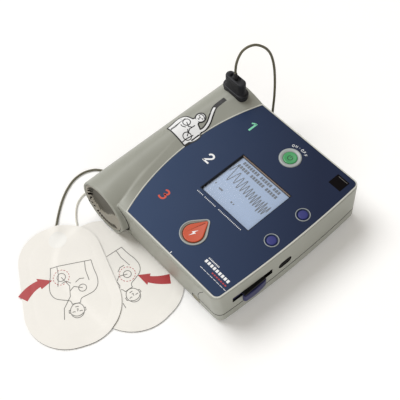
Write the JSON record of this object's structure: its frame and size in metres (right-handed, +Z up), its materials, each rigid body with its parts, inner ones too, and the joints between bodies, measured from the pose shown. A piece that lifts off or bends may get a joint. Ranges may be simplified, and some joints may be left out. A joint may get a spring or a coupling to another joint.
{
  "type": "automated external defibrillator",
  "caption": "Portable defibrillator: case with a tube along one side, display, push buttons, pull-out battery pack, data card tray, and adhesive pads on a plug-in cord.",
  "frame": {"origin": "under the middle of the housing, on the surface that it stands on", "axes": "+X to the user's right, +Y away from the user, +Z up"},
  "size_m": [0.2635, 0.3926, 0.1356],
  "materials": {
    "case_shell": "satin moulded plastic",
    "gasket_black": "soft black seal",
    "overlay_blue": "satin printed film",
    "grille_grey": "satin moulded plastic",
    "speaker_black": "black frame and cone",
    "bezel_black": "satin black",
    "display_clear": "clear window",
    "lcd_blue": "pale blue display",
    "ring_light": "light grey ring",
    "button_green": "green button",
    "button_red": "orange-red button",
    "button_blue": "blue button",
    "dome_rubber": "silicone dome",
    "board_green": "circuit board",
    "chip_black": "moulded components",
    "dark_window": "dark translucent window",
    "coil_copper": "copper winding and core",
    "relay_white": "moulded relay",
    "capacitor_sleeve": "sleeved capacitor",
    "inner_grey": "moulded frame",
    "contact_gold": "plated contacts",
    "cell_blue": "wrapped cells",
    "tray_blue": "dark blue tray",
    "card_black": "data card",
    "plug_grey": "dark grey plug",
    "boot_rubber": "strain relief",
    "cord_olive": "flexible olive jacket",
    "lead_pale": "flexible pale jacket",
    "pad_cream": "coated foam backing",
    "screw_steel": "machine screws",
    "foot_rubber": "rubber feet",
    "latch_grey": "ribbed finger catch"
  },
  "bodies": {
    "housing": {"top_case": "case_shell", "bottom_case": "case_shell", "case_gasket": "gasket_black", "panel_overlay": "overlay_blue", "speaker_grille": "grille_grey", "speaker": "speaker_black", "display_bezel": "bezel_black", "display_window": "display_clear", "lcd_panel": "lcd_blue", "power_bezel": "ring_light", "power_dome": "dome_rubber", "shock_bezel": "ring_light", "shock_dome": "dome_rubber", "option_rings": "ring_light", "option_dome_upper": "dome_rubber", "option_dome_lower": "dome_rubber", "switch_boards": "board_green", "status_window": "dark_window", "status_display": "relay_white", "ir_window": "dark_window", "ir_transceiver": "chip_black", "microphone": "speaker_black", "main_board": "board_green", "board_components": "chip_black", "high_voltage_board": "board_green", "transformer": "coil_copper", "discharge_relay": "relay_white", "capacitor": "capacitor_sleeve", "battery_bay": "inner_grey", "battery_contacts": "contact_gold", "card_guide": "inner_grey", "card_connector": "chip_black", "connector_socket": "plug_grey", "pads_plug": "plug_grey", "plug_boot": "boot_rubber", "plug_cord": "cord_olive", "cord_hank": "cord_olive", "hank_tie": "boot_rubber", "trunk_cord": "cord_olive", "lead_splitter": "boot_rubber", "lead_a": "cord_olive", "lead_b": "lead_pale", "pad_a": "pad_cream", "pad_b": "pad_cream", "case_screws": "screw_steel", "rubber_feet": "foot_rubber"},
    "power_key": {"power_button": "button_green"},
    "shock_key": {"shock_button": "button_red"},
    "option_key_upper": {"option_button_upper": "button_blue"},
    "option_key_lower": {"option_button_lower": "button_blue"},
    "battery_pack": {"battery_case": "case_shell", "battery_cells": "cell_blue", "battery_terminals": "contact_gold"},
    "latch": {"battery_latch": "latch_grey"},
    "card_drawer": {"card_tray": "tray_blue", "data_card": "card_black"}
  },
  "joints": [
    {"name": "power_press", "type": "slide", "parent": "housing", "child": "power_key", "axis": [0, 0, -1], "range_m": [0, 0.001], "stiffness_N_per_m": 1500, "deforming": ["power_dome"]},
    {"name": "shock_press", "type": "slide", "parent": "housing", "child": "shock_key", "axis": [0, 0, -1], "range_m": [0, 0.001], "stiffness_N_per_m": 1500, "deforming": ["shock_dome"]},
    {"name": "option_upper_press", "type": "slide", "parent": "housing", "child": "option_key_upper", "axis": [0, 0, -1], "range_m": [0, 0.0007], "stiffness_N_per_m": 1500, "deforming": ["option_dome_upper"]},
    {"name": "option_lower_press", "type": "slide", "parent": "housing", "child": "option_key_lower", "axis": [0, 0, -1], "range_m": [0, 0.0007], "stiffness_N_per_m": 1500, "deforming": ["option_dome_lower"]},
    {"name": "battery_slide", "type": "slide", "parent": "housing", "child": "battery_pack", "axis": [0, -1, 0], "range_m": [0, 0.055]},
    {"name": "latch_press", "type": "slide", "parent": "battery_pack", "child": "latch", "axis": [0, 0, 1], "range_m": [0, 0.0025], "stiffness_N_per_m": 600},
    {"name": "tray_slide", "type": "slide", "parent": "housing", "child": "card_drawer", "axis": [1, 0, 0], "range_m": [0, 0.028]}
  ]
}
